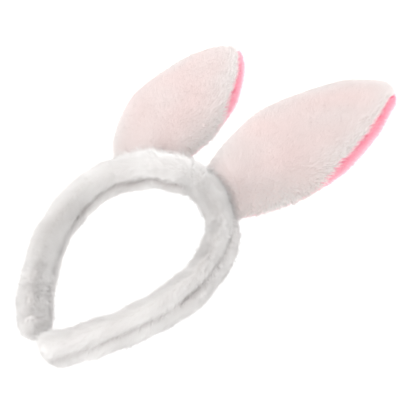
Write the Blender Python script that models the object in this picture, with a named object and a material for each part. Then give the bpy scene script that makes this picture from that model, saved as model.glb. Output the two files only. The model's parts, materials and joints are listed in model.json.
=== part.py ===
"""Rabbit ears headband: a sprung, padded fur band with two wired plush ears.

Metres, +Z up through the ears, the pink ear fronts face -Y and the white backs face +Y.
The origin is the middle of the crown's inner face, where the band rests on the head.
The band springs open at two shoulders. Each ear bends fore and aft on the line of its foot.
"""

from math import atan2, cos, hypot, pi, radians, sin

import bmesh
import bpy
from mathutils import Matrix, Vector

# Band: its centre line is a closed-in horseshoe in the XZ plane, read from the crown down each leg.
BAND_WIDTH = 0.1155
BAND_HEIGHT = 0.140
CROWN_POINT = 1.12  # above 1 the crown is more pointed than a circle
LEG_CLOSING = 0.80  # how early the legs draw together
TIP_OFFSET = 0.0070  # keeps the two leg tips side by side
SHOULDER_TURN = 1.26  # radians down the line from the crown to each sprung shoulder
LEG_END_TURNS = {1: 2.70, -1: 2.82}  # by side, +X first: the left leg stops a little shorter
TIP_CLOSING_POWER = 4
WIDTH_SAMPLES = 200
TANGENT_STEP = 1e-4

# Band section: RADIAL is across the band in its own plane, DEPTH is fore and aft.
SLEEVE_RADIAL = 0.0082
SLEEVE_DEPTH = 0.0122
FUR_CLOTH = 0.0018
SEAM_GAP = 0.0003
FIT_GAP = 0.0003
SHOULDER_GAP = 0.0004
PADDING_SLIT = 0.0006
STRIP_HALF_WIDTH = 0.0050
STRIP_HALF_THICKNESS = 0.0008
STRIP_CORNER = 0.0005
STRIP_POCKET_GAP = 0.00035
PADDING_SETBACK = 0.0010  # the padding and the strip stop short of the sleeve's end
STRIP_SETBACK = 0.0030
CAP_LENGTH = 0.0070
SHOULDER_STUB = 0.0015

# Ear: a leaf outline, in the ear's own frame with X across, Y through and Z from foot to tip.
EAR_TURN = 0.495  # radians along the crown's line to the middle of the ear's foot
EAR_LEAN = radians(15.0)
EAR_LENGTH = 0.1240
EAR_WIDTH = 0.079
EAR_WIDEST = 0.0525  # height of the widest place above the foot's fold line
EAR_LOWER_REACH = 0.0708  # half height of the lower part's ellipse, which the crown cuts short
EAR_TIP_ROUNDING = 1.15
EAR_TWIST = radians(15.0)  # both ears turn the same way about their long axis towards the tip
EAR_FORWARD_CURLS = {1: 0.021, -1: 0.011}  # by side: how far the wire is bent forward at the tip
EAR_SIDE_CURLS = {1: 0.004, -1: 0.0}  # by side: how far it is bent towards +X
EAR_HALF_THICKNESS = 0.0070
EAR_FLATNESS = 3.0
EAR_FOOT_THINNING = 0.45
EAR_FOOT_LENGTH = 0.034
EAR_CLOTH = 0.0018
FOOT_GAP = 0.0018
FOLD_LINE_RISE = 0.0034  # the fold line above the lowest edge of the foot
WADDING_INSET = 0.0078
WADDING_HALF_THICKNESS = 0.0044
WADDING_LOWER_REACH = 0.040
WIRE_RADIUS = 0.0007
WIRE_INSET = 0.0052
WIRE_FOOT_ANGLE = radians(46.0)
THREAD_RADIUS = 0.00035
THREAD_DROP = 0.0008  # the thread below the foot's edge
THREAD_WAVE = 0.0011
THREAD_TURN = 0.24
THREAD_STITCHES = 7

CROWN_STEPS = 14
LEG_STEPS = 9
HALF_SECTION_STEPS = 7
CAP_RINGS = 8
PILLOW_SEGMENTS = 28
PILLOW_RINGS = 12
WIRE_STEPS = 34
WIRE_BEVEL_STEPS = 2
STEPS_PER_STITCH = 4
THREAD_BEVEL_STEPS = 1
WELD_DISTANCE = 1e-6

WHITE_FUR = (0.86, 0.84, 0.82)
PINK_PLUSH = (0.86, 0.35, 0.47)
WADDING_WHITE = (0.90, 0.90, 0.88)
STRIP_WHITE = (0.80, 0.80, 0.78)
WIRE_STEEL = (0.62, 0.62, 0.60)
THREAD_WHITE = (0.88, 0.86, 0.84)
FABRIC_ROUGHNESS = 0.95
STRIP_ROUGHNESS = 0.45
WIRE_ROUGHNESS = 0.35
THREAD_ROUGHNESS = 0.8
SHARP_DEGREES = 40


def clear_scene():
    for thing in list(bpy.data.objects):
        bpy.data.objects.remove(thing)


def new_collection(name):
    collection = bpy.data.collections.new(name)
    bpy.context.scene.collection.children.link(collection)
    return collection


def add_material(thing, colour, roughness, metallic=0.0):
    material = bpy.data.materials.new(thing.name + "_material")
    material.use_nodes = True
    shader = material.node_tree.nodes["Principled BSDF"]
    shader.inputs["Base Color"].default_value = (*colour, 1.0)
    shader.inputs["Roughness"].default_value = roughness
    shader.inputs["Metallic"].default_value = metallic
    thing.data.materials.append(material)


# The band's centre line


def line_swell(turn):
    """How far the line bulges to the side at this turn, before it is scaled to the band's width."""
    return sin(turn) ** CROWN_POINT * cos(turn / 2) ** LEG_CLOSING


LINE_WIDEST = max(line_swell(pi * i / WIDTH_SAMPLES) for i in range(1, WIDTH_SAMPLES))


def line_point(turn):
    """A point of the centre line. Turn is 0 at the crown and grows down the +X leg."""
    size = abs(turn)
    reach = BAND_WIDTH / 2 * line_swell(size) / LINE_WIDEST + TIP_OFFSET * sin(size / 2) ** TIP_CLOSING_POWER
    height = SLEEVE_RADIAL - BAND_HEIGHT * (1 - cos(turn)) / 2
    return Vector((reach if turn >= 0 else -reach, 0, height))


def line_tangent(turn):
    return (line_point(turn + TANGENT_STEP) - line_point(turn - TANGENT_STEP)).normalized()


def line_normal(turn):
    """The outward direction, square to the line and in the band's plane."""
    tangent = line_tangent(turn)
    return Vector((-tangent.z, 0, tangent.x))


def crown_path(overlap=0.0):
    """The line from shoulder to shoulder, with a short straight piece at each end."""
    turns = [SHOULDER_TURN * (2 * i / CROWN_STEPS - 1) for i in range(1, CROWN_STEPS)]
    path = [line_point(turn) for turn in turns]
    for side in (-1, 1):
        shoulder = line_point(side * SHOULDER_TURN)
        down = line_tangent(side * SHOULDER_TURN) * side
        stub = [shoulder - down * SHOULDER_STUB, shoulder + down * (overlap - SHOULDER_GAP / 2)]
        path = path + stub if side > 0 else stub[::-1] + path
    return path


def leg_path(side, setback=0.0):
    """The line from one shoulder down to that leg's end, less the setback."""
    shoulder = line_point(side * SHOULDER_TURN)
    down = line_tangent(side * SHOULDER_TURN) * side
    path = [shoulder + down * SHOULDER_GAP / 2, shoulder + down * SHOULDER_STUB]
    for i in range(1, LEG_STEPS + 1):
        turn = SHOULDER_TURN + (LEG_END_TURNS[side] - SHOULDER_TURN) * i / LEG_STEPS
        path.append(line_point(side * turn))
    path[-1] = path[-1] - (path[-1] - path[-2]).normalized() * setback
    # Every path runs towards +X over the crown, so that a section's outer side stays outside.
    return path if side > 0 else path[::-1]


# Sections of the band: the first coordinate is fore and aft, the second is outwards


def arc(depth, radial, start, end, steps=HALF_SECTION_STEPS):
    angles = [start + (end - start) * i / steps for i in range(steps + 1)]
    return [(depth * cos(angle), radial * sin(angle)) for angle in angles]


def sleeve_section(face):
    """Half of the fur tube's wall. Face is 1 for the back half and -1 for the front half."""
    outer = arc(SLEEVE_DEPTH, SLEEVE_RADIAL, pi / 2, -pi / 2)
    inner = arc(SLEEVE_DEPTH - FUR_CLOTH, SLEEVE_RADIAL - FUR_CLOTH, -pi / 2, pi / 2)
    wall = [(depth + SEAM_GAP / 2, radial) for depth, radial in outer + inner]
    return wall if face > 0 else [(-depth, radial) for depth, radial in wall][::-1]


def rounded_bar(half_width, half_thickness, corner):
    """A flat bar's section with clipped corners, starting at the middle of its inner face."""
    right = [
        (half_width - corner, -half_thickness),
        (half_width, corner - half_thickness),
        (half_width, half_thickness - corner),
        (half_width - corner, half_thickness),
    ]
    return right + [(-depth, radial) for depth, radial in reversed(right)]


def padding_section():
    """Wadding folded round the strip, with its slit on the head's side."""
    lining = FUR_CLOTH + FIT_GAP
    depth, radial = SLEEVE_DEPTH - lining, SLEEVE_RADIAL - lining
    slit = PADDING_SLIT / 2
    lips = pi / 2 - slit / depth
    outer = arc(depth, radial, -lips, pi + lips, 2 * HALF_SECTION_STEPS)
    pocket = rounded_bar(
        STRIP_HALF_WIDTH + STRIP_POCKET_GAP, STRIP_HALF_THICKNESS + STRIP_POCKET_GAP, STRIP_CORNER
    )
    mouth = STRIP_HALF_THICKNESS + STRIP_POCKET_GAP
    return outer + [(-slit, -mouth)] + pocket[::-1] + [(slit, -mouth)]


# Building tools


def poly_curve(name, points, closed, collection):
    curve = bpy.data.curves.new(name, "CURVE")
    curve.dimensions = "2D" if closed else "3D"
    spline = curve.splines.new("POLY")
    spline.points.add(len(points) - 1)
    for spot, place in zip(spline.points, points):
        spot.co = (*place, 0, 1) if closed else (*place, 1)
    spline.use_cyclic_u = closed
    thing = bpy.data.objects.new(name, curve)
    collection.objects.link(thing)
    return thing


def as_mesh(curve_object, collection):
    """Replaces a curve object with the closed mesh that it makes."""
    name = curve_object.name
    graph = bpy.context.evaluated_depsgraph_get()
    mesh = bpy.data.meshes.new_from_object(curve_object.evaluated_get(graph))
    place = curve_object.matrix_world.copy()
    bpy.data.objects.remove(curve_object)
    work = bmesh.new()
    work.from_mesh(mesh)
    bmesh.ops.remove_doubles(work, verts=work.verts, dist=WELD_DISTANCE)
    bmesh.ops.recalc_face_normals(work, faces=work.faces)
    work.to_mesh(mesh)
    work.free()
    thing = bpy.data.objects.new(name, mesh)
    thing.matrix_world = place
    collection.objects.link(thing)
    return thing


def smooth(thing):
    thing.data.shade_smooth()
    thing.data.set_sharp_from_angle(angle=radians(SHARP_DEGREES))


def sweep(name, section, path, collection, origin=Vector()):
    """A section swept along a path in the band's plane, as a mesh whose origin is at the given place."""
    outline = poly_curve(name + "_section", [(radial, -depth) for depth, radial in section], True, collection)
    flat_path = [(point.x - origin.x, point.z - origin.z, 0) for point in path]
    rail = poly_curve(name, flat_path, False, collection)
    rail.data.twist_mode = "Z_UP"
    rail.data.bevel_mode = "OBJECT"
    rail.data.bevel_object = outline
    rail.data.use_fill_caps = True
    thing = as_mesh(rail, collection)
    bpy.data.objects.remove(outline)
    thing.data.transform(Matrix.Rotation(pi / 2, 4, "X"))
    thing.location = origin
    smooth(thing)
    return thing


# Band pieces


def band_run(prefix, path_of, collection, origin):
    """The strip, padding and two sleeve halves of one stretch of band."""
    strip = sweep(
        prefix + "_strip",
        rounded_bar(STRIP_HALF_WIDTH, STRIP_HALF_THICKNESS, STRIP_CORNER),
        path_of(STRIP_SETBACK),
        collection,
        origin,
    )
    add_material(strip, STRIP_WHITE, STRIP_ROUGHNESS)
    padding = sweep(prefix + "_padding", padding_section(), path_of(PADDING_SETBACK), collection, origin)
    add_material(padding, WADDING_WHITE, FABRIC_ROUGHNESS)
    for face, word in ((-1, "front"), (1, "back")):
        half = sweep(f"{prefix}_fur_{word}", sleeve_section(face), path_of(0.0), collection, origin)
        add_material(half, WHITE_FUR, FABRIC_ROUGHNESS)


def shoulder_pivot(side):
    """The shoulder's hinge is on the sleeve's outer edge, so opening a leg never squeezes the fur."""
    turn = side * SHOULDER_TURN
    return line_point(turn) + line_normal(turn) * SLEEVE_RADIAL


def end_cap(name, side, collection, origin):
    """The gathered end of the sleeve: half an ellipsoid, flat where it meets the sleeve."""
    path = leg_path(side)
    end, before = (path[-1], path[-2]) if side > 0 else (path[0], path[1])
    down = (end - before).normalized()
    work = bmesh.new()
    bmesh.ops.create_uvsphere(work, u_segments=2 * HALF_SECTION_STEPS + 2, v_segments=CAP_RINGS, radius=1.0)
    everything = work.verts[:] + work.edges[:] + work.faces[:]
    bmesh.ops.bisect_plane(work, geom=everything, plane_co=(0, 0, 0), plane_no=(0, 0, 1), clear_inner=True)
    bmesh.ops.contextual_create(work, geom=[edge for edge in work.edges if edge.is_boundary])
    for vert in work.verts:
        deep, across, along = vert.co
        vert.co = (deep * SLEEVE_DEPTH, across * SLEEVE_RADIAL, along * CAP_LENGTH + FIT_GAP)
    mesh = bpy.data.meshes.new(name)
    work.to_mesh(mesh)
    work.free()
    cap = bpy.data.objects.new(name, mesh)
    collection.objects.link(cap)
    mesh.transform(down.to_track_quat("Z", "Y").to_matrix().to_4x4())
    mesh.transform(Matrix.Translation(end - origin))
    cap.location = origin
    smooth(cap)
    add_material(cap, WHITE_FUR, FABRIC_ROUGHNESS)


# Ears


def ear_pivot(side):
    """The middle of the fold line, clear of the crown below it."""
    turn = side * EAR_TURN
    return line_point(turn) + line_normal(turn) * (SLEEVE_RADIAL + FOOT_GAP + FOLD_LINE_RISE)


def ear_outline(angle, inset, lower_reach):
    """A point of the leaf outline: the tip is at a quarter turn and the foot at three quarters."""
    across, along = cos(angle), sin(angle)
    if along < 0:
        return Vector(((EAR_WIDTH / 2 - inset) * across, 0, EAR_WIDEST + (lower_reach - inset) * along))
    flare = abs(across) ** EAR_TIP_ROUNDING
    width = (EAR_WIDTH / 2 - inset) * (flare if across >= 0 else -flare)
    height = EAR_WIDEST + (EAR_LENGTH - EAR_WIDEST - inset) * along**EAR_TIP_ROUNDING
    return Vector((width, 0, height))


def smooth_step(value):
    value = min(max(value, 0), 1)
    return value * value * (3 - 2 * value)


def foot_taper(height):
    """The ear is pinched flat where it is sewn down, and full above that."""
    return EAR_FOOT_THINNING + (1 - EAR_FOOT_THINNING) * smooth_step(height / EAR_FOOT_LENGTH)


def bent(spot, side):
    """Where a point of the flat ear goes when its wire is twisted and curled."""
    turn = EAR_TWIST * smooth_step(spot.z / EAR_LENGTH)
    rise = (max(spot.z, 0) / EAR_LENGTH) ** 2
    across = spot.x * cos(turn) + spot.y * sin(turn) + EAR_SIDE_CURLS[side] * rise
    through = spot.y * cos(turn) - spot.x * sin(turn) - EAR_FORWARD_CURLS[side] * rise
    return Vector((across, through, spot.z))


def pillow(name, inset, half_thickness, lower_reach, face, side, collection):
    """A leaf-shaped cushion. Face 0 is full on both sides, 1 on its back only and -1 on its front only."""
    work = bmesh.new()
    bmesh.ops.create_uvsphere(work, u_segments=PILLOW_SEGMENTS, v_segments=PILLOW_RINGS, radius=1.0)
    centre = Vector((0, 0, EAR_WIDEST))
    for vert in work.verts:
        away = min(hypot(vert.co.x, vert.co.y), 1.0)
        spot = centre.lerp(ear_outline(atan2(vert.co.y, vert.co.x), inset, lower_reach), away)
        spot.y = face * SEAM_GAP / 2
        half = 1 if vert.co.z > 0 else -1
        if half != -face:
            spot.y += half * half_thickness * foot_taper(spot.z) * (1 - away**EAR_FLATNESS) ** 0.5
        vert.co = bent(spot, side)
    work.normal_update()
    bmesh.ops.recalc_face_normals(work, faces=work.faces)
    mesh = bpy.data.meshes.new(name)
    work.to_mesh(mesh)
    work.free()
    thing = bpy.data.objects.new(name, mesh)
    collection.objects.link(thing)
    smooth(thing)
    return thing


def place_on_ear(thing, pivot, side):
    thing.rotation_euler.y = side * EAR_LEAN
    thing.parent = pivot


def cut_away(thing, cutter):
    cut = thing.modifiers.new("cut_" + cutter.name, "BOOLEAN")
    cut.operation = "DIFFERENCE"
    cut.object = cutter


def as_cutter(thing):
    thing.hide_render = True
    thing.display_type = "WIRE"
    return thing


def ear_wire(name, side, collection):
    """One bent wire, up one side of the ear, round the tip and down the other."""
    run = pi + 2 * WIRE_FOOT_ANGLE
    angles = [run * i / WIRE_STEPS - WIRE_FOOT_ANGLE for i in range(WIRE_STEPS + 1)]
    path = [bent(ear_outline(angle, WIRE_INSET, EAR_LOWER_REACH), side) for angle in angles]
    wire = poly_curve(name, path, False, collection)
    wire.data.bevel_depth = WIRE_RADIUS
    wire.data.bevel_resolution = WIRE_BEVEL_STEPS
    wire.data.use_fill_caps = True
    return wire


def foot_thread(name, side, collection):
    """The thread that sews the foot down, waving from face to face just under the foot's edge."""
    path = []
    count = THREAD_STITCHES * STEPS_PER_STITCH
    for i in range(count + 1):
        turn = side * (EAR_TURN + THREAD_TURN * (2 * i / count - 1))
        ridge = line_point(turn) + line_normal(turn) * (SLEEVE_RADIAL + FOOT_GAP - THREAD_DROP)
        ridge.y = THREAD_WAVE * sin(2 * pi * i / STEPS_PER_STITCH)
        path.append(ridge - ear_pivot(side))
    thread = poly_curve(name, path, False, collection)
    thread.data.bevel_depth = THREAD_RADIUS
    thread.data.bevel_resolution = THREAD_BEVEL_STEPS
    thread.data.use_fill_caps = True
    return thread


def ear(word, side, crown_clearance, parts, cutters):
    """One ear: two plush panels sewn at the rim over a wire and a thin filling."""
    pivot = bpy.data.objects.new(word + "_ear_pivot", None)
    pivot.location = ear_pivot(side)
    parts.objects.link(pivot)
    lining = EAR_HALF_THICKNESS - EAR_CLOTH
    hollow = as_cutter(pillow(word + "_ear_hollow", EAR_CLOTH, lining, EAR_LOWER_REACH, 0, side, cutters))
    place_on_ear(hollow, pivot, side)
    for face, where, colour in ((-1, "front", PINK_PLUSH), (1, "back", WHITE_FUR)):
        name = f"{word}_ear_{where}"
        panel = pillow(name, 0.0, EAR_HALF_THICKNESS, EAR_LOWER_REACH, face, side, parts)
        place_on_ear(panel, pivot, side)
        cut_away(panel, hollow)
        cut_away(panel, crown_clearance)
        add_material(panel, colour, FABRIC_ROUGHNESS)
    reach = WADDING_LOWER_REACH + WADDING_INSET
    wadding = pillow(word + "_ear_wadding", WADDING_INSET, WADDING_HALF_THICKNESS, reach, 0, side, parts)
    place_on_ear(wadding, pivot, side)
    add_material(wadding, WADDING_WHITE, FABRIC_ROUGHNESS)
    wire = ear_wire(word + "_ear_wire", side, parts)
    place_on_ear(wire, pivot, side)
    add_material(wire, WIRE_STEEL, WIRE_ROUGHNESS, 1.0)
    thread = foot_thread(word + "_ear_stitching", side, parts)
    thread.parent = pivot
    add_material(thread, THREAD_WHITE, THREAD_ROUGHNESS)


def build():
    clear_scene()
    parts = new_collection("rabbit_ears_headband")
    cutters = new_collection("cutters")
    band_run("crown", lambda setback: crown_path(), parts, Vector())
    for word, side in (("left", 1), ("right", -1)):
        pivot = shoulder_pivot(side)
        band_run(word + "_leg", lambda setback, side=side: leg_path(side, setback), parts, pivot)
        end_cap(word + "_leg_end_cap", side, parts, pivot)
    full_turn = arc(SLEEVE_DEPTH + FOOT_GAP, SLEEVE_RADIAL + FOOT_GAP, 0, 2 * pi, 4 * HALF_SECTION_STEPS)
    clearance = as_cutter(sweep("crown_clearance", full_turn[:-1], crown_path(SHOULDER_STUB), cutters))
    for word, side in (("left", 1), ("right", -1)):
        ear(word, side, clearance, parts, cutters)


build()
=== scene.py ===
"""Looks for the rabbit ears headband: plush cloth, mesh pile, inner materials, light and camera."""

import json
from itertools import count as counting
from math import cos, exp, pi, radians, sin

import bmesh
import bpy
import numpy as np
from mathutils import Matrix, Vector, kdtree, noise


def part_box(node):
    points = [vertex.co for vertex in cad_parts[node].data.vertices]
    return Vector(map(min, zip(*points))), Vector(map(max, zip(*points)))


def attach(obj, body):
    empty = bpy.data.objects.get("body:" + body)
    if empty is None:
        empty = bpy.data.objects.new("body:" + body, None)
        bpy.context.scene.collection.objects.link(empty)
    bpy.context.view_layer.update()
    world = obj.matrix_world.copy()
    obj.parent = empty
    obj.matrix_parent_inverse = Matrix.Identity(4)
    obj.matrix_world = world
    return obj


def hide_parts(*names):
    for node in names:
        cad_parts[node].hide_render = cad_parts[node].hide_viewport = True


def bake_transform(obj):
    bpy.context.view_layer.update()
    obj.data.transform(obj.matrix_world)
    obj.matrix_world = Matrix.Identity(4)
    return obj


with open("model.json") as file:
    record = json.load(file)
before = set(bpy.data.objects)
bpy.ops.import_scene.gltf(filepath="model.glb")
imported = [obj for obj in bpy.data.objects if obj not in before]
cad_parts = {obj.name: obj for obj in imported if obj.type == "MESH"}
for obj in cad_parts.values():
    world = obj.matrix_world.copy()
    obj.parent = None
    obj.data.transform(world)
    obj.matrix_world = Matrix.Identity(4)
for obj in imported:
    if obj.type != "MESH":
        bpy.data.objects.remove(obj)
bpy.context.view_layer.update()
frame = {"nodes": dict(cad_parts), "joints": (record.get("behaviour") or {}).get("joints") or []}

JOINTS = {joint["name"]: joint for joint in frame["joints"]}

# The band's centre line has the same form as the solids' and is sized from them. A turn is a place on
# it: 0 on top, positive on the left (+X) and growing down the leg.
CROWN_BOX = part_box("crown_fur_back")
SLEEVE_RADIAL = CROWN_BOX[1][2] / 2
SLEEVE_DEPTH = CROWN_BOX[1][1]
BAND_WIDTH = 0.1155
BAND_HEIGHT = 0.140
CROWN_POINT = 1.12
LEG_CLOSING = 0.80
TIP_OFFSET = 0.0070
SHOULDER_TURN = 1.26
LEG_END_TURNS = {"left": 2.665, "right": 2.82}  # the left leg ends short of the right one in the photo
WIDTH_SAMPLES = 200
LENGTH_SAMPLES = 400
TANGENT_STEP = 1e-4

# Seams of the sleeve
SEAM_DIP = 0.0030
SEAM_HALF_ANGLE = radians(19)
OUTER_SEAM_TO_BACK = radians(20)  # the seams lie a little to the back of the edges
INNER_SEAM_TO_BACK = {"crown": radians(6), "legs": radians(-24)}
SEAM_WANDER = radians(12)
SEAM_WAVE = 0.030
OUTER_SEAM_SHARE = 0.80  # of SEAM_DIP
INNER_SEAM_SHARE = 0.36
INNER_CREASE_TURN = (0.30, 0.40)  # the middle and the reach of the inner seam's deep stretch
SEAM_SHARE_SPREAD = 0.9
SEAM_SHARE_WAVE = 0.028
LEAST_SEAM_SHARE = 0.15
PARTING_ANGLE = radians(34)  # the pile is combed away from a seam this far to each side

# Band skin
SKIN_INSET = 0.0015
OUTER_TRIMS = {"left": 0.0006, "right": 0.0026}
TRIM_CHANGE = 1.2  # turns over which one side's trim goes over to the other's
GAP_TRIM = 0.0014  # between the ears
GAP_TURN = 0.28
INNER_FILL = 0.0026
INNER_FILL_TURN = (0.16, 0.42)
LEG_INNER_TRIM = 0.0007
LUMP_HEIGHT = 0.0018
LUMP_SIZE = 0.014
BAND_CLOTH = 0.0012
CORE_SHARE = 0.62  # the stuffing's size against the skin's
CORE_LUMP_HEIGHT = 0.0005
CORE_LUMP_SIZE = 0.004
END_ROUNDINGS = {"left": 0.0034, "right": 0.0074}
END_SKEWS = {"left": -0.0010, "right": 0.0040}
END_SQUARENESS = 2.4
END_CLOSING = 0.02  # the last ring's share of the sleeve
END_RINGS = 7
RING_STEP = 0.0022
FEWEST_RINGS = 4
RING_POINTS = 30

# Ear outline, in the ear's own frame: X across, Y through, Z from foot to tip
EAR_LEAN = radians(15.0)
EAR_LENGTH = 0.1240
EAR_WIDTH = 0.079
EAR_WIDEST = 0.0525
EAR_LOWER_REACH = 0.0708
EAR_TIP_ROUNDING = 1.15
EAR_FORWARD_CURLS = {1: 0.021, -1: 0.011}
EAR_SIDE_CURLS = {1: 0.004, -1: 0.0}
EAR_TWIST = radians(15.0)
EAR_HALF_THICKNESS = 0.0068
EAR_BACK_FLATNESS = 5.0
EAR_FRONT_FLATNESS = 9.0
EAR_RIPPLE = 0.10
EAR_RIPPLES_PER_M = 45
EAR_FOOT_SINK = 0.0036  # how far the foot's edge goes into the crown's sleeve
EAR_FOOT_THINNING = 0.50
EAR_FOOT_LENGTH = 0.034
EAR_SEAM_SHIFT = 0.0036  # the seam runs this far to the back near the tip and to the front near the foot
EAR_SEAM_CROSSING = 0.039
EAR_SEAM_SPREAD = 0.034
EAR_SEAM_RETURN = (0.105, 0.016)  # from this height, over this length, the seam goes to the front again
EAR_SEAM_RETURN_SHARE = 1.8
EAR_SKIN_INSET = 0.0004
EAR_FRONT_TUCK = 0.0008  # how far the pink panel stops short of the rim in the foot half
EAR_PANEL_GAP = 0.0001
EAR_CLOTH = 0.001
EAR_RINGS = 22
EAR_SPOKES = 84
FOOT_SEARCHES = 14
FOOT_SEARCH_START = 0.3  # share of a spoke that is always clear of the crown
FOOT_SIDE_SLOPE = -0.55  # spokes that point further down than this can meet the crown
FOOT_DEPTH_LIMIT = 0.06  # below the top of the crown's line
CROWN_SAMPLES = 160

# Pile
QUICK = 1.0
PILE_PER_M2 = 4.2e6
MOST_STRANDS = 20000  # in one piece, so that its STL stays within the exporter's face limit
STRANDS_PER_CLUMP = 9
FEWEST_CLUMPS = 8
SWIRL = 0.18
SWIRL_SIZE = 0.016
LENGTH_SPREAD = (0.82, 1.18)
LEAN_SPREAD = (0.75, 1.25)
WIDTH_SPREAD = (0.8, 1.2)
STRAY_LENGTHS = (1.10, 1.90)
STRAY_LEAN = 0.70
STRAY_WIDTH = 0.7
LOWER_LEAN = 0.6  # of a strand's lean, below and above its bend
UPPER_LEAN = 1.35
BEND_HEIGHT = 0.55
MIDDLE_PULL = 0.45  # how far a strand's bend follows its tip into the clump
MIDDLE_WIDTH = 0.8
ROLL_SPREAD = 0.25
ROOT_DEPTH = 0.0004
SOFTNESS = 0.70  # how far a strand's shading follows the skin's
BAND_HABIT = {"radius": 0.000095, "longest": 0.0120, "sprawl": 0.14, "clumping": (0.10, 0.30)}
EAR_HABIT = {"radius": 0.00009, "longest": 0.0075, "sprawl": 0.10, "clumping": (0.03, 0.11)}
BAND_LAYERS = ("pile", "under_pile")
EAR_LAYERS = {"front": ("pile", "under_pile"), "back": ("pile", "middle_pile", "under_pile")}
FIRST_BAND_SEED = 12
FIRST_EAR_SEED = 42
SHADE_LIMITS = (0.02, 0.98)

BAND_PILE_LENGTH = 0.0050
SEAM_PILE_SHARE = 0.50  # the pile's length in a seam against the length beside it
BAND_PILE_LEAN = radians(46)
SEAM_PILE_LEAN = radians(40)
BAND_STRAYS = 0.20
TUFT_HEIGHT = 0.28
TUFT_SIZE = 0.006
TUFT_SHIFT = 0.012
FALL_CHANGE = 0.9  # turns over which the pile's fall goes over from one side to the other
FALL = 0.30
PARTED = 0.6
OVERHANG = (0.2, 0.9)  # everywhere, and more at the outer edge
# The seam share darkens the pile along the seams with painted crease shade. The patch share is random tone.
BAND_SHADE = {"even": 0.08, "patch": 0.2, "seam": 1.3}
BAND_PATCHES_PER_M = 60

# By ear panel: in its middle, at the rim of its foot half and at the rim of its tip half
EAR_PILE_LENGTHS = {"front": (0.0048, 0.0022, 0.0064), "back": (0.0036, 0.0056, 0.0044)}
EAR_PILE_LEANS = {"front": (46, 46, 10), "back": (57, 39, 57)}
EAR_STRAYS = {"front": (0.03, 0.03, 0.28), "back": (0.03, 0.28, 0.28)}
EAR_SOFTNESS = (SOFTNESS, 0.10)  # in a panel's middle and at its rim
EAR_PATCHES_PER_M = 38
FRONT_SEAM = (0.975, 0.022)  # where the front's seam strip starts on a spoke, and how soon it is full
FRONT_SEAM_SHORTENING = 0.0024
FRONT_SHADE = {"even": 0.30, "patch": 0.3, "seam": 0.6}
# At the rim the back's pile goes to its plain colours: less blush, which is real, and greyer roots, which
# paint the shade along the rim's upright fuzz.
BACK_SHADE = {"even": 0.85, "patch": 0.35, "rim": -0.75}

# A strand is a three-sided tube from its root to its bend, and three sides that meet at its tip.
STRAND_FACES = [(0, 1, 4, 3), (1, 2, 5, 4), (2, 0, 3, 5), (3, 4, 6), (4, 5, 6), (5, 3, 6), (2, 1, 0)]
STRAND_POINTS = 7
MAP_HEIGHTS = [0.02, 0.02, 0.02, 0.55, 0.55, 0.55, 0.98]  # of a strand's points, from root to tip
MAP_ROOT_HEIGHT = 0.08  # of the root face's last corner, which gives that face an area on the map
MAP_SIDES = {4: (0.0, 1.0, 1.0, 0.0), 3: (0.0, 1.0, 0.5)}
MAP_COLUMNS = 48  # one for each shade
MAP_MARGIN = 0.1

# Studio
CAMERA_AZIMUTH = radians(219.06)
CAMERA_ELEVATION = radians(-21.03)
CAMERA_ROLL = radians(39.62)
CAMERA_DISTANCE = 0.5181
CAMERA_ANGLE = radians(26.83)
CAMERA_CLIP = 0.01
CAMERA_TARGET = Vector((-0.0208, 0, -0.0047))
KEY_SIDE = 0.35  # to the camera's left and up, against 1 towards the camera
KEY_RISE = 0.12
KEY_DISTANCE = 1.1
KEY = {"size": 0.8, "power": 4.2, "colour": (1.0, 0.98, 0.97)}
FRONT_FILL_PLACE = Vector((-0.5, -1.1, 0.6))
FRONT_FILL = {"size": 1.0, "power": 6.5, "colour": (1.0, 1.0, 1.0)}
WORLD_STRENGTH = 1.58
FLOOR_DROP = 0.75
FLOOR_SIZE = 12
FLOOR_COLOUR = (0.8, 0.8, 0.8, 1)
FLOOR_GLOW = 0.2


# Shape functions


def mix(low, high, share):
    return low + (high - low) * share


def within(value, limits):
    return min(max(value, limits[0]), limits[1])


def smooth_step(value):
    value = within(value, (0.0, 1.0))
    return value * value * (3 - 2 * value)


def hump(turn, middle, reach):
    """1 at a turn and falling off to 0 on both sides of it."""
    return exp(-(((turn - middle) / reach) ** 2))


def line_swell(turn):
    return sin(turn) ** CROWN_POINT * cos(turn / 2) ** LEG_CLOSING


LINE_WIDEST = max(line_swell(pi * i / WIDTH_SAMPLES) for i in range(1, WIDTH_SAMPLES))


def line_point(turn):
    size = abs(turn)
    reach = BAND_WIDTH / 2 * line_swell(size) / LINE_WIDEST + TIP_OFFSET * sin(size / 2) ** 4
    height = SLEEVE_RADIAL - BAND_HEIGHT * (1 - cos(turn)) / 2
    return Vector((reach if turn >= 0 else -reach, 0, height))


def line_tangent(turn):
    return (line_point(turn + TANGENT_STEP) - line_point(turn - TANGENT_STEP)).normalized()


def line_normal(turn):
    tangent = line_tangent(turn)
    return Vector((-tangent.z, 0, tangent.x))


def turns_between(start, end):
    """Turns about RING_STEP apart along the line, from start to end."""
    fine = [start + (end - start) * i / LENGTH_SAMPLES for i in range(LENGTH_SAMPLES + 1)]
    points = [line_point(turn) for turn in fine]
    lengths = np.concatenate([[0], np.cumsum([(b - a).length for a, b in zip(points, points[1:])])])
    rings = max(FEWEST_RINGS, round(lengths[-1] / RING_STEP))
    return np.interp(np.linspace(0, lengths[-1], rings + 1), lengths, fine)


def crown_share(turn):
    """1 on top of the crown and 0 from a quarter turn on."""
    return max(cos(turn), 0) ** 2


def lump(point):
    return LUMP_HEIGHT * noise.noise(point / LUMP_SIZE)


def seam_lines(turn):
    """The angles of the outer and the inner seam, which wander a little, each by its own noise."""
    wander = [SEAM_WANDER * noise.noise(line_point(turn) / SEAM_WAVE + Vector((0, 3 * k, 0))) for k in (1, 2)]
    inner = mix(INNER_SEAM_TO_BACK["legs"], INNER_SEAM_TO_BACK["crown"], crown_share(turn))
    return pi / 2 - OUTER_SEAM_TO_BACK + wander[0], -pi / 2 + inner + wander[1]


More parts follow.
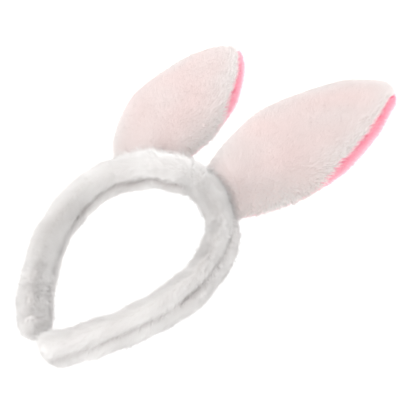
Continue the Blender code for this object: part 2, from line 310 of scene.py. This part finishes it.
def parting(turn, angle):
    """-1 to 1: which way the pile lies away from the nearest seam, and how strongly."""
    off = min((angle - line for line in seam_lines(turn)), key=abs)
    near = max(0.0, 1 - abs(off) / PARTING_ANGLE)
    return near if off > 0 else -near


def seam_pinch(turn, angle):
    """Up to 1 on a seam line and 0 away from it. The seams are near the outer and the inner edge."""
    outer, inner = (abs(angle - line) / SEAM_HALF_ANGLE for line in seam_lines(turn))
    share = OUTER_SEAM_SHARE if outer < inner else mix(INNER_SEAM_SHARE, 1, hump(turn, *INNER_CREASE_TURN))
    share += SEAM_SHARE_SPREAD * noise.noise(line_point(turn) / SEAM_SHARE_WAVE + Vector((0, 5, 0)))
    return max(0.0, 1 - min(outer, inner)) ** 2 * within(share, (LEAST_SEAM_SHARE, 1.0))


def face_angle(angle, face):
    """The same angle counted round the whole sleeve, so that the seams can wander onto either half."""
    return angle if face > 0 else (pi - angle if angle > 0 else -pi - angle)


def band_skin_point(turn, angle, face, shrink=1.0):
    """Angle runs from a quarter turn at the outer edge to minus that at the inner one, over one face."""
    left = smooth_step(turn / TRIM_CHANGE + 0.5)
    outer_trim = mix(OUTER_TRIMS["right"], OUTER_TRIMS["left"], left) + GAP_TRIM * hump(turn, 0, GAP_TURN)
    inner_fill = INNER_FILL * hump(turn, *INNER_FILL_TURN) - LEG_INNER_TRIM * (1 - crown_share(turn))
    push = -SKIN_INSET - SEAM_DIP * seam_pinch(turn, face_angle(angle, face))
    push -= outer_trim * max(sin(angle), 0) ** 2
    push += inner_fill * max(-sin(angle), 0) ** 2
    radial = (SLEEVE_RADIAL + push) * shrink * sin(angle)
    depth = (SLEEVE_DEPTH + push) * shrink * cos(angle)
    spot = line_point(turn) + line_normal(turn) * radial + Vector((0, face * depth, 0))
    outward = (line_normal(turn) * sin(angle) + Vector((0, face * cos(angle), 0))).normalized()
    return spot + outward * lump(spot)


# Meshes and the pile's values on them


def new_object(name, mesh, material):
    mesh.materials.append(material)
    thing = bpy.data.objects.new(name, mesh)
    bpy.context.scene.collection.objects.link(thing)
    return thing


def mesh_of(name, points, faces, material):
    mesh = bpy.data.meshes.new(name)
    mesh.from_pydata([tuple(point) for point in points], [], faces)
    mesh.polygons.foreach_set("use_smooth", [True] * len(mesh.polygons))
    mesh.update()
    return new_object(name, mesh, material)


def grid_mesh(name, rows, material):
    """An open grid of points as a mesh of quads."""
    width = len(rows[0])
    index = np.arange(len(rows) * width).reshape(len(rows), width)
    quads = np.stack([index[:-1, :-1], index[1:, :-1], index[1:, 1:], index[:-1, 1:]], -1).reshape(-1, 4)
    return mesh_of(name, [point for row in rows for point in row], quads.tolist(), material)


def disc_mesh(name, rings, material):
    """Closed rings, from the innermost outwards, as a mesh of quads with one face in the middle."""
    width = len(rings[0])
    index = np.arange(len(rings) * width).reshape(len(rings), width)
    after = np.roll(index, -1, axis=1)
    quads = np.stack([index[:-1], index[1:], after[1:], after[:-1]], -1).reshape(-1, 4).tolist()
    return mesh_of(name, [point for ring in rings for point in ring], quads + [index[0].tolist()], material)


PILE_VALUES = ("pile_comb", "pile_length", "pile_lean", "pile_shade", "pile_stray", "pile_softness")


def store_pile(skin, pile):
    """Keeps the pile's values on the skin's points. A cloth material reads pile_shade too."""
    for name, values in zip(PILE_VALUES, zip(*pile)):
        values = np.array(values, np.float32)
        wide = values.ndim == 2
        attribute = skin.data.attributes.new(name, "FLOAT_VECTOR" if wide else "FLOAT", "POINT")
        attribute.data.foreach_set("vector" if wide else "value", values.ravel())


def read_attribute(mesh, name):
    attribute = mesh.attributes[name]
    wide = attribute.data_type == "FLOAT_VECTOR"
    values = np.empty(len(mesh.vertices) * (3 if wide else 1), np.float32)
    attribute.data.foreach_get("vector" if wide else "value", values)
    return values.reshape(-1, 3) if wide else values


def thicken(skin, depth):
    solid = skin.modifiers.new("cloth", "SOLIDIFY")
    solid.thickness = depth
    solid.offset = -1
    with bpy.context.temp_override(object=skin, active_object=skin):
        bpy.ops.object.modifier_apply(modifier=solid.name)


# Pile: short tapered strands grown from a skin


def unit(vectors):
    return vectors / np.maximum(np.linalg.norm(vectors, axis=-1, keepdims=True), 1e-12)


def triples(items, key, kind):
    """A mesh's points, normals or triangles as rows of three."""
    values = np.empty(len(items) * 3, kind)
    items.foreach_get(key, values)
    return values.reshape(-1, 3)


def skin_samples(skin, count, rng):
    """Points spread evenly over a skin, with its normals and its pile's values there."""
    mesh = skin.data
    mesh.calc_loop_triangles()
    corners = triples(mesh.loop_triangles, "vertices", np.int32)
    places = triples(mesh.vertices, "co", np.float32)
    normals = triples(mesh.vertices, "normal", np.float32)
    a, b, c = (places[corners[:, i]] for i in range(3))
    area = np.linalg.norm(np.cross(b - a, c - a), axis=1)
    pick = rng.choice(len(corners), count, p=area / area.sum())
    u, v = rng.random(count), rng.random(count)
    flip = u + v > 1
    u[flip], v[flip] = 1 - u[flip], 1 - v[flip]
    weights = np.stack([1 - u - v, u, v], -1)[..., None]

    def spread(values):
        return (values[corners[pick]].reshape(count, 3, -1) * weights).sum(axis=1)

    values = [spread(read_attribute(mesh, name)) for name in PILE_VALUES]
    return spread(places), unit(spread(normals)), *values


def nearest_keeper(points, keepers):
    """For each point, the nearest of the points that the clumps gather round."""
    tree = kdtree.KDTree(len(keepers))
    for i, keeper in enumerate(keepers):
        tree.insert(Vector(points[keeper]), i)
    tree.balance()
    return keepers[[tree.find(Vector(point))[1] for point in points]]


def drawn(rng, count, spread):
    return mix(*spread, rng.random((count, 1)))


def strands(skin, count, rng, radius, longest, sprawl, clumping):
    """The points of every strand, which way each point is shaded, and the strands' shades."""
    root, normal, comb, length, lean, shade, stray_share, softness = skin_samples(skin, count, rng)
    comb = comb + sprawl * rng.standard_normal((count, 3))
    comb = comb + SWIRL * np.array([noise.noise_vector(Vector(point) / SWIRL_SIZE) for point in root])
    comb = unit(comb - (comb * normal).sum(-1, keepdims=True) * normal)
    length = length * drawn(rng, count, LENGTH_SPREAD)
    stray = rng.random((count, 1)) < stray_share
    length = np.where(stray, length * drawn(rng, count, STRAY_LENGTHS), length)
    length = np.minimum(length, longest)
    lean = lean * drawn(rng, count, LEAN_SPREAD) * np.where(stray, STRAY_LEAN, 1.0)
    lower = unit(normal * np.cos(lean * LOWER_LEAN) + comb * np.sin(lean * LOWER_LEAN))
    upper = unit(normal * np.cos(lean * UPPER_LEAN) + comb * np.sin(lean * UPPER_LEAN))
    middle = root + lower * length * BEND_HEIGHT
    tip = middle + upper * length * (1 - BEND_HEIGHT)

    keepers = rng.choice(count, max(FEWEST_CLUMPS, int(count / STRANDS_PER_CLUMP)), replace=False)
    nearest = nearest_keeper(root, keepers)
    pull = np.where(stray, 0.0, drawn(rng, count, clumping))
    tip = tip + (tip[nearest] - tip) * pull
    middle = middle + (middle[nearest] - middle) * pull * MIDDLE_PULL
    root = root - normal * ROOT_DEPTH

    side = unit(np.cross(lower, normal + ROLL_SPREAD * rng.standard_normal((count, 3))))
    other = np.cross(lower, side)
    wide = radius * drawn(rng, count, WIDTH_SPREAD) * np.where(stray, STRAY_WIDTH, 1.0)
    spokes = [side * cos(2 * pi * k / 3) + other * sin(2 * pi * k / 3) for k in range(3)]
    points = [root + spoke * wide for spoke in spokes]
    points += [middle + spoke * wide * MIDDLE_WIDTH for spoke in spokes]
    facing = np.stack(spokes * 2 + [normal], axis=1)
    facing = unit(mix(facing, normal[:, None, :], softness[:, :, None]))
    return np.stack(points + [tip], axis=1), facing, shade[:, 0]


def strand_mesh(name, points, shade):
    """The mesh of all strands. On its map a strand's column is its shade and V runs from root to tip."""
    count = len(points)
    corners = np.concatenate([np.array(face) for face in STRAND_FACES])
    starts = np.cumsum([0] + [len(face) for face in STRAND_FACES])[:-1]
    across = np.concatenate([np.array(MAP_SIDES[len(face)]) for face in STRAND_FACES])
    up = np.array([MAP_HEIGHTS[corner] for corner in corners])
    up[-1] = MAP_ROOT_HEIGHT
    column = np.clip((shade * MAP_COLUMNS).astype(int), 0, MAP_COLUMNS - 1)
    each = np.arange(count)[:, None]
    mesh = bpy.data.meshes.new(name)
    mesh.vertices.add(count * STRAND_POINTS)
    mesh.vertices.foreach_set("co", points.astype(np.float32).ravel())
    mesh.loops.add(count * len(corners))
    mesh.loops.foreach_set("vertex_index", (each * STRAND_POINTS + corners).astype(np.int32).ravel())
    mesh.polygons.add(count * len(starts))
    mesh.polygons.foreach_set("loop_start", (each * len(corners) + starts).astype(np.int32).ravel())
    mesh.polygons.foreach_set("use_smooth", [True] * (count * len(starts)))
    uv = np.empty((count, len(corners), 2), np.float32)
    uv[:, :, 0] = (column[:, None] + MAP_MARGIN + (1 - 2 * MAP_MARGIN) * across) / MAP_COLUMNS
    uv[:, :, 1] = up
    mesh.uv_layers.new(name="OFBake").data.foreach_set("uv", uv.ravel())
    return mesh


def grow_pile(name, skin, count, material, seed, habit):
    """Covers a skin with strands. Their shading is blended with the skin's, so that they read as soft."""
    points, facing, shade = strands(skin, count, np.random.default_rng(seed), **habit)
    mesh = strand_mesh(name, points, shade)
    thing = new_object(name, mesh, material)
    mesh.update()
    mesh.validate()
    mesh.normals_split_custom_set_from_vertices(facing.reshape(-1, 3).tolist())
    return thing


def pile_layers(skin, layers, material, seeds, habit):
    """One piece of pile for each layer, each all over the skin."""
    area = sum(polygon.area for polygon in skin.data.polygons)
    count = min(MOST_STRANDS, int(area * PILE_PER_M2 * QUICK))
    name = skin.name.removesuffix("cloth")
    return [grow_pile(name + layer, skin, count, material, next(seeds), habit) for layer in layers]


# Materials


def new_material(name):
    material = bpy.data.materials.new(name)
    material.use_nodes = True
    return material, material.node_tree, material.node_tree.nodes["Principled BSDF"]


def mix_colours(tree, factor, low, high):
    """A Mix node of two colours, each a plain colour or a socket."""
    node = tree.nodes.new("ShaderNodeMix")
    node.data_type = "RGBA"
    for socket, value in ((node.inputs[0], factor), (node.inputs[6], low), (node.inputs[7], high)):
        if isinstance(value, bpy.types.NodeSocket):
            tree.links.new(value, socket)
        elif isinstance(value, tuple):
            socket.default_value = (*value, 1.0)
        else:
            socket.default_value = value
    return node.outputs[2]


def pile_material(name, plain_root, plain_tip, tint_and_painted_shade_root, tint_and_painted_shade_tip):
    """Strands with one colour at the root and one at the tip. The map's U is how far a strand goes to its
    second colours: a real tint on the ears, painted crease shade on the band.
    """
    material, tree, shader = new_material(name)
    uv = tree.nodes.new("ShaderNodeUVMap")
    uv.uv_map = "OFBake"
    split = tree.nodes.new("ShaderNodeSeparateXYZ")
    tree.links.new(uv.outputs[0], split.inputs[0])
    root = mix_colours(tree, split.outputs[0], plain_root, tint_and_painted_shade_root)
    tip = mix_colours(tree, split.outputs[0], plain_tip, tint_and_painted_shade_tip)
    tree.links.new(mix_colours(tree, split.outputs[1], root, tip), shader.inputs["Base Color"])
    shader.inputs["Roughness"].default_value = 0.75
    shader.inputs["Specular IOR Level"].default_value = 0.25
    return material


def cloth_material(name, low, high, crease_shade=None):
    """Knitted backing cloth under the pile, darkened with painted crease shade in the seams where a crease
    shade colour is given.
    """
    material, tree, shader = new_material(name)
    place = tree.nodes.new("ShaderNodeTexCoord")
    cells = tree.nodes.new("ShaderNodeTexNoise")
    cells.inputs["Scale"].default_value = 900.0
    cells.inputs["Detail"].default_value = 3.0
    tree.links.new(place.outputs["Object"], cells.inputs["Vector"])
    colour = mix_colours(tree, cells.outputs[0], low, high)
    if crease_shade:
        # The pile_shade attribute paints crease shade into the cloth along the seams.
        depth = tree.nodes.new("ShaderNodeAttribute")
        depth.attribute_name = "pile_shade"
        colour = mix_colours(tree, depth.outputs["Fac"], colour, crease_shade)
    tree.links.new(colour, shader.inputs["Base Color"])
    relief = tree.nodes.new("ShaderNodeBump")
    relief.inputs["Strength"].default_value = 0.5
    relief.inputs["Distance"].default_value = 0.0004
    tree.links.new(cells.outputs[0], relief.inputs["Height"])
    tree.links.new(relief.outputs[0], shader.inputs["Normal"])
    shader.inputs["Roughness"].default_value = 0.95
    return material


def inner_material(name, low, high, scale, bump, roughness, metal=0.0, stretch=(1, 1, 1)):
    """A hidden part's finish: grain in two tones that also drives the roughness and the bump."""
    material, tree, shader = new_material(name)
    place = tree.nodes.new("ShaderNodeTexCoord")
    stretched = tree.nodes.new("ShaderNodeMapping")
    stretched.inputs["Scale"].default_value = stretch
    tree.links.new(place.outputs["Object"], stretched.inputs[0])
    grain = tree.nodes.new("ShaderNodeTexNoise")
    grain.inputs["Scale"].default_value = scale
    grain.inputs["Detail"].default_value = 4.0
    tree.links.new(stretched.outputs[0], grain.inputs["Vector"])
    tree.links.new(mix_colours(tree, grain.outputs[0], low, high), shader.inputs["Base Color"])
    spread = tree.nodes.new("ShaderNodeMapRange")
    spread.inputs["To Min"].default_value = roughness[0]
    spread.inputs["To Max"].default_value = roughness[1]
    tree.links.new(grain.outputs[0], spread.inputs["Value"])
    tree.links.new(spread.outputs[0], shader.inputs["Roughness"])
    relief = tree.nodes.new("ShaderNodeBump")
    relief.inputs["Strength"].default_value = 0.6
    relief.inputs["Distance"].default_value = bump
    tree.links.new(grain.outputs[0], relief.inputs["Height"])
    tree.links.new(relief.outputs[0], shader.inputs["Normal"])
    shader.inputs["Metallic"].default_value = metal
    return material


WADDING = inner_material(
    "stuffing_fibre", (0.78, 0.78, 0.77), (0.93, 0.93, 0.92), scale=700, bump=0.0008, roughness=(0.85, 1.0)
)
STRIP_PLASTIC = inner_material(
    "strip_plastic", (0.80, 0.80, 0.79), (0.86, 0.86, 0.85), scale=350, bump=0.00006, roughness=(0.32, 0.48)
)
DRAWN_STEEL = inner_material(
    "drawn_steel", (0.46, 0.46, 0.47), (0.60, 0.60, 0.61), scale=900, bump=0.00004, roughness=(0.25, 0.42),
    metal=1.0, stretch=(1, 1, 0.1),
)
SPUN_THREAD = inner_material(
    "spun_thread", (0.78, 0.76, 0.74), (0.92, 0.90, 0.88), scale=2600, bump=0.0002, roughness=(0.7, 0.9),
    stretch=(1, 1, 3),
)
INNER_LOOKS = {"strip": STRIP_PLASTIC, "wadding": WADDING, "wire": DRAWN_STEEL, "stitching": SPUN_THREAD}
# The band pile's second colours are dark: painted crease shade for the strands in the seams.
BAND_PILE = pile_material(
    "band_pile", (0.91, 0.892, 0.88), (0.93, 0.915, 0.902), (0.44, 0.385, 0.37), (0.70, 0.655, 0.64)
)
# The third colour is painted crease shade for the cloth in the seams.
WHITE_CLOTH = cloth_material("white_backing", (0.80, 0.78, 0.76), (0.88, 0.86, 0.84), (0.34, 0.29, 0.28))
EAR_PILES = {
    "front": pile_material(
        "ear_front_pile", (0.97, 0.50, 0.60), (0.98, 0.80, 0.85), (0.97, 0.20, 0.33), (0.96, 0.50, 0.60)
    ),
    "back": pile_material(
        # The plain roots are greyer than the tips: painted shade where the fuzz stands up at the rim.
        "ear_back_pile", (0.74, 0.70, 0.685), (0.84, 0.822, 0.81), (0.85, 0.695, 0.675), (0.865, 0.725, 0.705)
    ),
}
EAR_CLOTHS = {
    "front": cloth_material("pink_backing", (0.92, 0.12, 0.32), (0.98, 0.20, 0.42)),
    "back": cloth_material("blush_backing", (0.80, 0.68, 0.66), (0.86, 0.76, 0.74)),
}


# Band


def band_pile(turn, angle, face):
    """The pile's values on the sleeve, in the order of PILE_VALUES. In the seams it is short, and darkened
    with painted crease shade.
    """
    whole = face_angle(angle, face)
    pinch = seam_pinch(turn, whole)
    part = parting(turn, whole)
    outward = line_normal(turn)
    fall = line_tangent(turn) * (2 * smooth_step(turn / FALL_CHANGE + 0.5) - 1)
    round_way = outward * cos(whole) - Vector((0, sin(whole), 0))
    overhang = outward * (OVERHANG[0] + OVERHANG[1] * sin(angle) ** 3) * (1 - abs(part))
    comb = overhang + fall * FALL + round_way * part * PARTED
    tuft = noise.noise((line_point(turn) + TUFT_SHIFT * Vector((0, face, angle))) / TUFT_SIZE)
    length = BAND_PILE_LENGTH * mix(1, SEAM_PILE_SHARE, pinch) * (1 + TUFT_HEIGHT * tuft)
    patch = noise.noise(line_point(turn) * BAND_PATCHES_PER_M + Vector((0, 0, angle)))
    # Along the seams the shade goes over to the band pile's dark colours: painted crease shade.
    shade = BAND_SHADE["even"] + BAND_SHADE["patch"] * patch + BAND_SHADE["seam"] * pinch
    lean = mix(BAND_PILE_LEAN, SEAM_PILE_LEAN, pinch)
    return tuple(comb), length, lean, within(shade, SHADE_LIMITS), BAND_STRAYS * (1 - pinch), SOFTNESS


def leg_end(turn, angles, face, side):
    """The rounded end of a leg, ring by ring."""
    word = "left" if side > 0 else "right"
    down = line_tangent(turn) * side
    rows = []
    for i in range(1, END_RINGS + 1):
        reach = sin(pi / 2 * i / END_RINGS)
        shrink = max((1 - reach**END_SQUARENESS) ** (1 / END_SQUARENESS), END_CLOSING)
        rows.append([
            band_skin_point(turn, angle, face, shrink)
            + down * reach * (END_ROUNDINGS[word] - END_SKEWS[word] * sin(angle) * shrink)
            for angle in angles
        ])
    return rows


def band_skin(name, start, end, face, side):
    """Half of the sleeve over one stretch of the line, closed at a leg's end, with its pile's values."""
    turns = list(turns_between(start, end))
    halfway = len(turns) // 2
    angles = [pi / 2 - pi * i / RING_POINTS for i in range(RING_POINTS + 1)]
    rows = [[band_skin_point(turn, angle, face) for angle in angles] for turn in turns]
    if side is not None:
        rows += leg_end(turns[-1], angles, face, side)
        turns += turns[-1:] * END_RINGS
    skin = grid_mesh(name, rows, WHITE_CLOTH)
    middle = skin.data.polygons[halfway * RING_POINTS + RING_POINTS // 2]
    if middle.normal.dot(middle.center - line_point(turns[halfway])) < 0:
        skin.data.flip_normals()
    store_pile(skin, [band_pile(turn, angle, face) for turn in turns for angle in angles])
    return skin


def band_core(name, start, end):
    """The stuffing inside one stretch of the sleeve, as a closed lumpy roll."""
    rows = []
    for turn in turns_between(start, end):
        row = []
        for i in range(2 * RING_POINTS):
            whole = pi * (i / RING_POINTS - 1)
            face = 1 if abs(whole) <= pi / 2 else -1
            spot = line_point(turn).lerp(band_skin_point(turn, face_angle(whole, face), face), CORE_SHARE)
            row.append(spot + CORE_LUMP_HEIGHT * noise.noise_vector(spot / CORE_LUMP_SIZE))
        rows.append(row + row[:1])
    core = grid_mesh(name, rows, WADDING)
    shape = bmesh.new()
    shape.from_mesh(core.data)
    bmesh.ops.remove_doubles(shape, verts=shape.verts, dist=1e-6)
    bmesh.ops.holes_fill(shape, edges=[edge for edge in shape.edges if edge.is_boundary], sides=0)
    bmesh.ops.recalc_face_normals(shape, faces=shape.faces)
    shape.to_mesh(core.data)
    shape.free()
    return core


def hold_band(piece, side):
    """The crown's pieces ride on the crown; a leg's pieces keep their places, with their transforms baked in.
    """
    if side is None:
        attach(piece, "crown")
        return
    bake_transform(piece)


def make_band():
    seeds = counting(FIRST_BAND_SEED)
    runs = (
        ("crown", -SHOULDER_TURN, SHOULDER_TURN, None),
        ("left_leg", SHOULDER_TURN, LEG_END_TURNS["left"], 1),
        ("right_leg", -SHOULDER_TURN, -LEG_END_TURNS["right"], -1),
    )
    for body, start, end, side in runs:
        for face, where in ((-1, "front"), (1, "back")):
            skin = band_skin(f"{body}_{where}_cloth", start, end, face, side)
            piles = pile_layers(skin, BAND_LAYERS, BAND_PILE, seeds, BAND_HABIT)
            thicken(skin, BAND_CLOTH)
            for piece in (skin, *piles):
                hold_band(piece, side)
            nodes = [f"{body}_fur_{where}"]
            if side is not None:
                nodes.append(f"{body}_end_cap")
            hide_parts(*nodes)
        core = band_core(f"{body}_stuffing", start, end)
        hold_band(core, side)
        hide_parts(f"{body}_padding")


# Ears


def ear_outline(angle):
    across, along = cos(angle), sin(angle)
    if along < 0:
        return Vector((EAR_WIDTH / 2 * across, 0, EAR_WIDEST + EAR_LOWER_REACH * along))
    flare = abs(across) ** EAR_TIP_ROUNDING
    width = EAR_WIDTH / 2 * (flare if across >= 0 else -flare)
    return Vector((width, 0, EAR_WIDEST + (EAR_LENGTH - EAR_WIDEST) * along**EAR_TIP_ROUNDING))


def foot_taper(height):
    return mix(EAR_FOOT_THINNING, 1, smooth_step(height / EAR_FOOT_LENGTH))


def tip_share(height):
    """0 in the foot half of an ear and 1 in its tip half."""
    return smooth_step((height - EAR_SEAM_CROSSING) / EAR_SEAM_SPREAD + 0.5)


def bent(spot, side):
    """Where a point of the flat ear goes when its wire is twisted and curled, as in the solids."""
    turn = EAR_TWIST * smooth_step(spot.z / EAR_LENGTH)
    rise = (max(spot.z, 0) / EAR_LENGTH) ** 2
    across = spot.x * cos(turn) + spot.y * sin(turn) + EAR_SIDE_CURLS[side] * rise
    through = spot.y * cos(turn) - spot.x * sin(turn) - EAR_FORWARD_CURLS[side] * rise
    return Vector((across, through, spot.z))


def ear_matrix(side):
    pivot = Vector(JOINTS["left_ear_bend" if side > 0 else "right_ear_bend"]["pos_m"])
    return Matrix.Translation(pivot) @ Matrix.Rotation(side * EAR_LEAN, 4, "Y")


def clear_of_crown(point):
    """Whether a point in the band's plane is outside the crown's sleeve, or less than the sink inside."""
    turns = np.linspace(-SHOULDER_TURN, SHOULDER_TURN, CROWN_SAMPLES)
    flat = Vector((point.x, 0, point.z))
    return min((line_point(turn) - flat).length for turn in turns) > SLEEVE_RADIAL - EAR_FOOT_SINK


def foot_limited(angle, place):
    """How far along this spoke the ear goes before it meets the crown's ridge."""
    centre = Vector((0, 0, EAR_WIDEST))
    edge = ear_outline(angle)
    if clear_of_crown(place @ edge) and sin(angle) > FOOT_SIDE_SLOPE:
        return 1.0
    low, high = FOOT_SEARCH_START, 1.0
    for _ in range(FOOT_SEARCHES):
        half = (low + high) / 2
        spot = place @ centre.lerp(edge, half)
        if clear_of_crown(spot) and spot.z > line_point(0).z - FOOT_DEPTH_LIMIT:
            low = half
        else:
            high = half
    return low


def panel_depth(spot, away, side, face):
    """How far a panel lies from the flat ear's plane. Its rim is on the seam, which wanders off it."""
    back = smooth_step((spot.z - EAR_SEAM_RETURN[0]) / EAR_SEAM_RETURN[1])
    seam = EAR_SEAM_SHIFT * (2 * tip_share(spot.z) - 1) * foot_taper(spot.z)
    seam *= 1 - EAR_SEAM_RETURN_SHARE * back
    depth = EAR_HALF_THICKNESS * foot_taper(spot.z)
    bulge = max(1 - away ** (EAR_BACK_FLATNESS if face > 0 else EAR_FRONT_FLATNESS), 0) ** 0.5
    ripple = 1 + EAR_RIPPLE * noise.noise(Vector((spot.x, side, spot.z)) * EAR_RIPPLES_PER_M)
    return seam + (face * depth - seam) * bulge * ripple + face * EAR_PANEL_GAP


def over_panel(values, tip, rim):
    middle, foot_rim, tip_rim = values
    return mix(middle, mix(foot_rim, tip_rim, tip), rim)


def ear_pile(spot, outward, away, side, face):
    """The pile's values on the flat ear. Away is 0 in a panel's middle and 1 at its rim."""
    where = "back" if face > 0 else "front"
    tip = tip_share(spot.z)
    patch = noise.noise(Vector((spot.x, side * 3.0, spot.z)) * EAR_PATCHES_PER_M)
    if face > 0:
        comb = outward * (0.3 + (1.1 - 0.8 * tip) * away**3) + Vector((0, 0, 0.75))
        length = over_panel(EAR_PILE_LENGTHS[where], tip, away**5)
        lean = over_panel(EAR_PILE_LEANS[where], tip, away**6)
        shade = BACK_SHADE["even"] + BACK_SHADE["rim"] * away**4 + BACK_SHADE["patch"] * patch
    else:
        at_seam = smooth_step((away - FRONT_SEAM[0]) / FRONT_SEAM[1])
        comb = outward * (0.4 + 0.9 * away**3) + Vector((0, -0.3 * away**4, 0.6))
        length = over_panel(EAR_PILE_LENGTHS[where], tip, away**4) - FRONT_SEAM_SHORTENING * at_seam * tip
        lean = over_panel(EAR_PILE_LEANS[where], tip, away**4)
        shade = FRONT_SHADE["even"] + FRONT_SHADE["patch"] * patch + FRONT_SHADE["seam"] * at_seam
    stray = over_panel(EAR_STRAYS[where], tip, away**6)
    return comb, length, radians(lean), within(shade, SHADE_LIMITS), stray, mix(*EAR_SOFTNESS, away**6)


def ear_skin(name, side, face, cloth):
    """One panel of an ear, twisted and curled as in the solids, with its pile's values."""
    place = ear_matrix(side)
    turned = place.to_3x3()
    centre = Vector((0, 0, EAR_WIDEST))
    angles = [2 * pi * i / EAR_SPOKES for i in range(EAR_SPOKES)]
    limits = [foot_limited(angle, place) for angle in angles]
    rings, pile = [], []
    for i in range(1, EAR_RINGS + 1):
        away = sin(pi / 2 * i / EAR_RINGS)
        rings.append([])
        for angle, limit in zip(angles, limits):
            edge = centre.lerp(ear_outline(angle), limit)
            outward = (edge - centre).normalized()
            tuck = EAR_FRONT_TUCK * (1 - tip_share(edge.z)) if face < 0 else 0.0
            edge -= outward * (EAR_SKIN_INSET + tuck)
            spot = centre.lerp(edge, away)
            comb, *others = ear_pile(spot, outward, away, side, face)
            pile.append((tuple(turned @ comb), *others))
            spot.y = panel_depth(spot, away, side, face)
            rings[-1].append(place @ bent(spot, side))
    skin = disc_mesh(name, rings, cloth)
    if skin.data.polygons[-1].normal.y * face < 0:
        skin.data.flip_normals()
    store_pile(skin, pile)
    return skin


def make_ears():
    seeds = counting(FIRST_EAR_SEED)
    for word, side in (("left", 1), ("right", -1)):
        joint = JOINTS[word + "_ear_bend"]
        up = Vector(joint["axis"]).cross(Vector((0, 1, 0))).normalized()
        up = up if up.z > 0 else -up
        for face, where, slot in ((-1, "front", "pink_plush"), (1, "back", "white_plush")):
            skin = ear_skin(f"{word}_ear_{where}_cloth", side, face, EAR_CLOTHS[where])
            piles = pile_layers(skin, EAR_LAYERS[where], EAR_PILES[where], seeds, EAR_HABIT)
            thicken(skin, EAR_CLOTH)
            for piece in (skin, *piles):
                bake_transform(piece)
            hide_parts(f"{word}_ear_{where}")


def finish_inner_nodes():
    """Procedural looks for the solids that stay, which are all inside the cloth or under the pile."""
    for node, thing in frame["nodes"].items():
        for kind, look in INNER_LOOKS.items():
            if node.endswith("_" + kind):
                for slot in thing.material_slots:
                    slot.material = look


# Studio


def area_light(name, place, size, power, colour):
    light = bpy.data.lights.new(name, "AREA")
    light.shape = "DISK"
    light.size = size
    light.energy = power
    light.color = colour
    thing = bpy.data.objects.new(name, light)
    thing.location = place
    thing.rotation_euler = (CAMERA_TARGET - thing.location).to_track_quat("-Z", "Y").to_euler()
    bpy.context.scene.collection.objects.link(thing)


def make_camera():
    """The photo's camera. It gives the camera's own forward, right and up."""
    forward = Vector((
        -sin(CAMERA_AZIMUTH) * cos(CAMERA_ELEVATION),
        cos(CAMERA_AZIMUTH) * cos(CAMERA_ELEVATION),
        -sin(CAMERA_ELEVATION),
    ))
    level = forward.cross(Vector((0, 0, 1))).normalized()
    above = level.cross(forward)
    right = level * cos(CAMERA_ROLL) + above * sin(CAMERA_ROLL)
    up = above * cos(CAMERA_ROLL) - level * sin(CAMERA_ROLL)
    lens = bpy.data.cameras.new("camera")
    lens.angle = CAMERA_ANGLE
    lens.clip_start = CAMERA_CLIP
    camera = bpy.data.objects.new("camera", lens)
    turn = Matrix((right, up, -forward)).transposed().to_4x4()
    camera.matrix_world = Matrix.Translation(CAMERA_TARGET - forward * CAMERA_DISTANCE) @ turn
    bpy.context.scene.collection.objects.link(camera)
    bpy.context.scene.camera = camera
    return forward, right, up


def make_floor():
    bpy.ops.mesh.primitive_plane_add(size=FLOOR_SIZE, location=(0, 0, -FLOOR_DROP))
    floor = bpy.context.object
    floor.name = "floor"
    material, _, shader = new_material("pale_floor")
    shader.inputs["Base Color"].default_value = FLOOR_COLOUR
    shader.inputs["Roughness"].default_value = 1.0
    shader.inputs["Specular IOR Level"].default_value = 0.0
    shader.inputs["Emission Color"].default_value = (1, 1, 1, 1)
    shader.inputs["Emission Strength"].default_value = FLOOR_GLOW
    floor.data.materials.append(material)


def make_studio():
    forward, right, up = make_camera()
    key_way = (up * KEY_RISE - right * KEY_SIDE - forward).normalized()
    area_light("key", CAMERA_TARGET + key_way * KEY_DISTANCE, **KEY)
    area_light("front_fill", CAMERA_TARGET + FRONT_FILL_PLACE, **FRONT_FILL)
    world = bpy.data.worlds.new("studio")
    world.use_nodes = True
    background = world.node_tree.nodes["Background"]
    background.inputs["Color"].default_value = (1, 1, 1, 1)
    background.inputs["Strength"].default_value = WORLD_STRENGTH
    bpy.context.scene.world = world
    bpy.context.scene.view_settings.view_transform = "Standard"
    make_floor()


make_band()
make_ears()
finish_inner_nodes()
make_studio()
